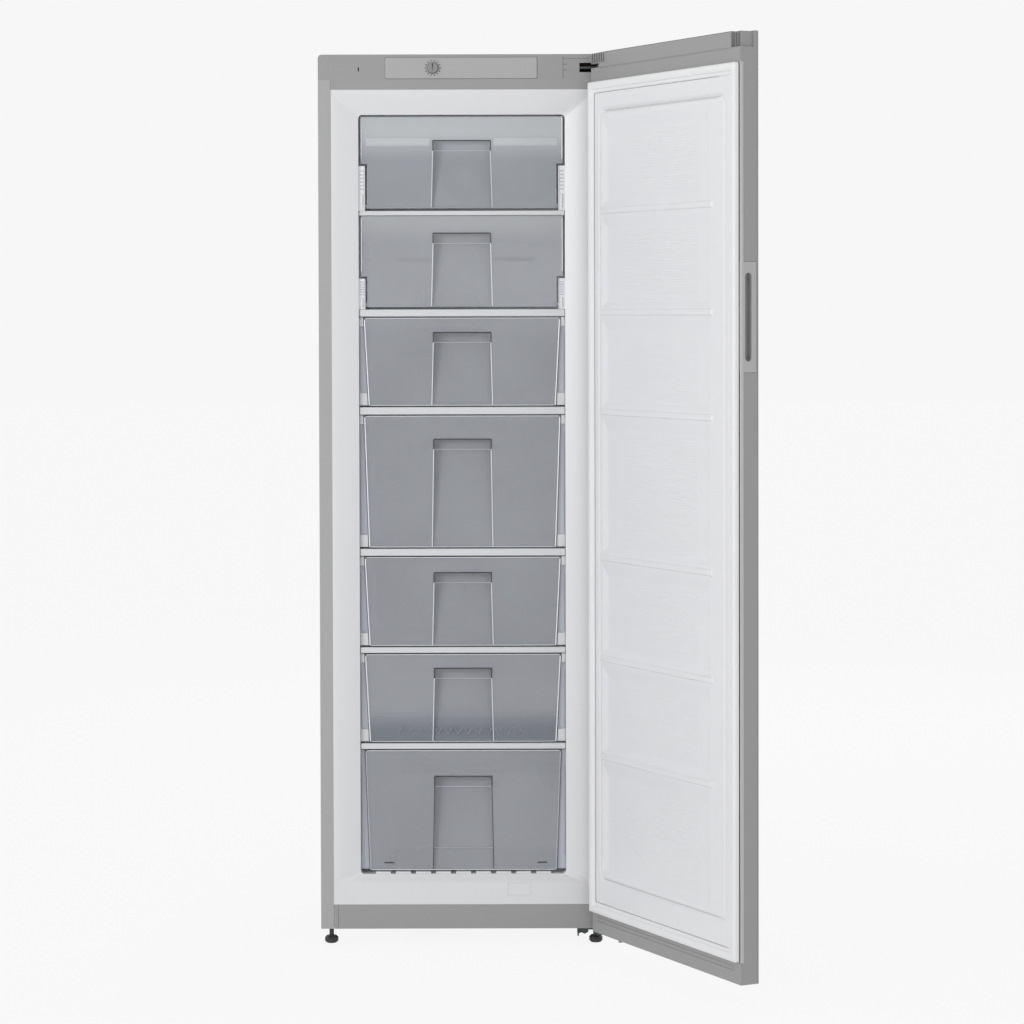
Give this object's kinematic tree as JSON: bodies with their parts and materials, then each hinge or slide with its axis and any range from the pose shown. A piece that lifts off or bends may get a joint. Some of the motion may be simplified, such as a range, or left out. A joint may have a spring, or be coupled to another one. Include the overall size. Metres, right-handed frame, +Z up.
{
  "type": "upright freezer",
  "caption": "Tall free-standing upright freezer with a hinged insulated door, drop-down flaps, clear slide-out drawers and a rear cooling unit.",
  "frame": {"origin": "on the floor under the middle of the carcass, doors and condenser left out", "axes": "+X to the right seen from the front, +Y to the back, +Z up; the door stands open to the front right"},
  "size_m": [0.8721, 1.146, 1.855],
  "materials": {
    "grey_steel": "satin grey powder paint",
    "grey_plastic": "fine satin, matched to the steel",
    "silver_plastic": "satin silver paint",
    "white_liner": "smooth formed white plastic",
    "white_trim": "smooth white plastic",
    "clear_front": "translucent bluish moulding",
    "shelf_glass": "clear toughened glass",
    "seal_rubber": "soft white extrusion",
    "foam": "rigid foam, closed in",
    "zinc_steel": "zinc plated",
    "black_steel": "black stove enamel",
    "aluminium": "mill finish",
    "copper": "drawn tube",
    "black_plastic": "moulded",
    "black_rubber": "moulded"
  },
  "bodies": {
    "cabinet": {"outer_shell": "grey_steel", "back_panel": "grey_steel", "insulation_foam": "foam", "inner_liner": "white_liner", "front_rail": "grey_steel", "kick_plate": "grey_steel", "base_frame": "zinc_steel", "fascia_frame": "grey_plastic", "control_panel": "silver_plastic", "hinge_blank_cover": "grey_plastic", "hinge_cover": "grey_plastic", "thermostat": "black_plastic", "top_hinge": "zinc_steel", "bottom_hinge": "zinc_steel", "hinge_screws": "zinc_steel", "shelf_glass_1": "shelf_glass", "shelf_glass_2": "shelf_glass", "shelf_glass_3": "shelf_glass", "shelf_glass_4": "shelf_glass", "shelf_glass_5": "shelf_glass", "shelf_glass_6": "shelf_glass", "shelf_trims": "white_trim", "flap_brackets": "white_trim", "evaporator_cover": "white_trim", "evaporator": "aluminium", "fan_motor": "black_plastic", "condenser": "black_steel", "condenser_brackets": "black_plastic", "compressor": "black_steel", "compressor_grommets": "black_rubber", "terminal_box": "black_plastic", "refrigerant_pipes": "copper", "drip_tray": "black_plastic", "roller_axles": "zinc_steel"},
    "door": {"door_skin": "grey_steel", "door_foam": "foam", "door_top_cap": "grey_plastic", "door_bottom_cap": "grey_plastic", "door_liner": "white_liner", "door_gasket": "seal_rubber", "door_handle": "grey_plastic", "door_bushes": "black_plastic"},
    "flap_1": {"flap_1": "clear_front"},
    "flap_2": {"flap_2": "clear_front"},
    "drawer_1": {"drawer_1_front": "clear_front", "drawer_1_bin": "clear_front"},
    "drawer_2": {"drawer_2_front": "clear_front", "drawer_2_bin": "clear_front"},
    "drawer_3": {"drawer_3_front": "clear_front", "drawer_3_bin": "clear_front"},
    "drawer_4": {"drawer_4_front": "clear_front", "drawer_4_bin": "clear_front"},
    "drawer_5": {"drawer_5_front": "clear_front", "drawer_5_bin": "clear_front"},
    "knob": {"thermostat_knob": "silver_plastic"},
    "fan": {"fan_rotor": "black_plastic"},
    "foot_left": {"foot_left": "black_plastic"},
    "foot_right": {"foot_right": "black_plastic"},
    "roller_left": {"roller_left": "black_plastic"},
    "roller_right": {"roller_right": "black_plastic"}
  },
  "joints": [
    {"name": "door_hinge", "type": "hinge", "parent": "cabinet", "child": "door", "pos_m": [0.2865, -0.3095, 0.0315], "axis": [0, 0, 1], "range_deg": [-117, 3]},
    {"name": "flap_1_hinge", "type": "hinge", "parent": "cabinet", "child": "flap_1", "pos_m": [0, -0.2565, 1.5426], "axis": [1, 0, 0], "range_deg": [0, 85]},
    {"name": "flap_2_hinge", "type": "hinge", "parent": "cabinet", "child": "flap_2", "pos_m": [0, -0.2565, 1.3373], "axis": [1, 0, 0], "range_deg": [0, 85]},
    {"name": "drawer_1_slide", "type": "slide", "parent": "cabinet", "child": "drawer_1", "axis": [0, -1, 0], "range_m": [0, 0.3]},
    {"name": "drawer_2_slide", "type": "slide", "parent": "cabinet", "child": "drawer_2", "axis": [0, -1, 0], "range_m": [0, 0.3]},
    {"name": "drawer_3_slide", "type": "slide", "parent": "cabinet", "child": "drawer_3", "axis": [0, -1, 0], "range_m": [0, 0.3]},
    {"name": "drawer_4_slide", "type": "slide", "parent": "cabinet", "child": "drawer_4", "axis": [0, -1, 0], "range_m": [0, 0.3]},
    {"name": "drawer_5_slide", "type": "slide", "parent": "cabinet", "child": "drawer_5", "axis": [0, -1, 0], "range_m": [0, 0.21]},
    {"name": "knob_turn", "type": "hinge", "parent": "cabinet", "child": "knob", "pos_m": [-0.059, -0.2825, 1.82675], "axis": [0, -1, 0], "range_deg": [-135, 135]},
    {"name": "fan_spin", "type": "hinge", "parent": "cabinet", "child": "fan", "pos_m": [0, 0.18, 1.622], "axis": [0, 1, 0], "continuous": true},
    {"name": "foot_left_turn", "type": "hinge", "parent": "cabinet", "child": "foot_left", "pos_m": [-0.277, -0.2575, 0.015], "axis": [0, 0, 1], "continuous": true},
    {"name": "foot_right_turn", "type": "hinge", "parent": "cabinet", "child": "foot_right", "pos_m": [0.277, -0.2575, 0.015], "axis": [0, 0, 1], "continuous": true},
    {"name": "roller_left_spin", "type": "hinge", "parent": "cabinet", "child": "roller_left", "pos_m": [-0.255, 0.2225, 0.019], "axis": [1, 0, 0], "continuous": true},
    {"name": "roller_right_spin", "type": "hinge", "parent": "cabinet", "child": "roller_right", "pos_m": [0.255, 0.2225, 0.019], "axis": [1, 0, 0], "continuous": true}
  ]
}
